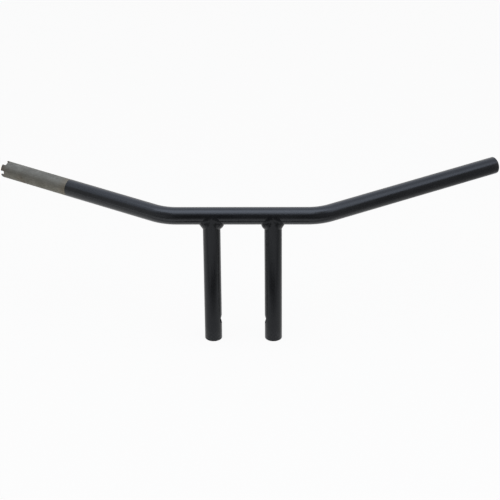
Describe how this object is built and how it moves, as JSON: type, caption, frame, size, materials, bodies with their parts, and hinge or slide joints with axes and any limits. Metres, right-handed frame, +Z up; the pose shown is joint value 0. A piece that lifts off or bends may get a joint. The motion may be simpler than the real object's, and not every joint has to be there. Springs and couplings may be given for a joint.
{
  "type": "motorcycle handlebar",
  "caption": "Welded motorcycle handlebar: a swept-back cross tube on upright risers with tapped feet, wire passages inside and a bare slotted end for an electronic twist throttle.",
  "frame": {"origin": "midway between the two riser feet, on the plane that they bolt down to", "axes": "+Z up the risers, +X towards the clutch end, +Y back towards the rider, the way the arms sweep"},
  "size_m": [0.7497, 0.19, 0.2159],
  "materials": {
    "black_coat": "satin black powder coat over steel",
    "bare_steel": "bare mild steel, lightly tarnished"
  },
  "bodies": {
    "root": {"cross_tube": "black_coat", "throttle_riser": "black_coat", "clutch_riser": "black_coat", "throttle_riser_weld": "black_coat", "clutch_riser_weld": "black_coat", "throttle_bung": "bare_steel", "clutch_bung": "bare_steel", "throttle_bung_weld": "black_coat", "clutch_bung_weld": "black_coat"}
  },
  "joints": []
}
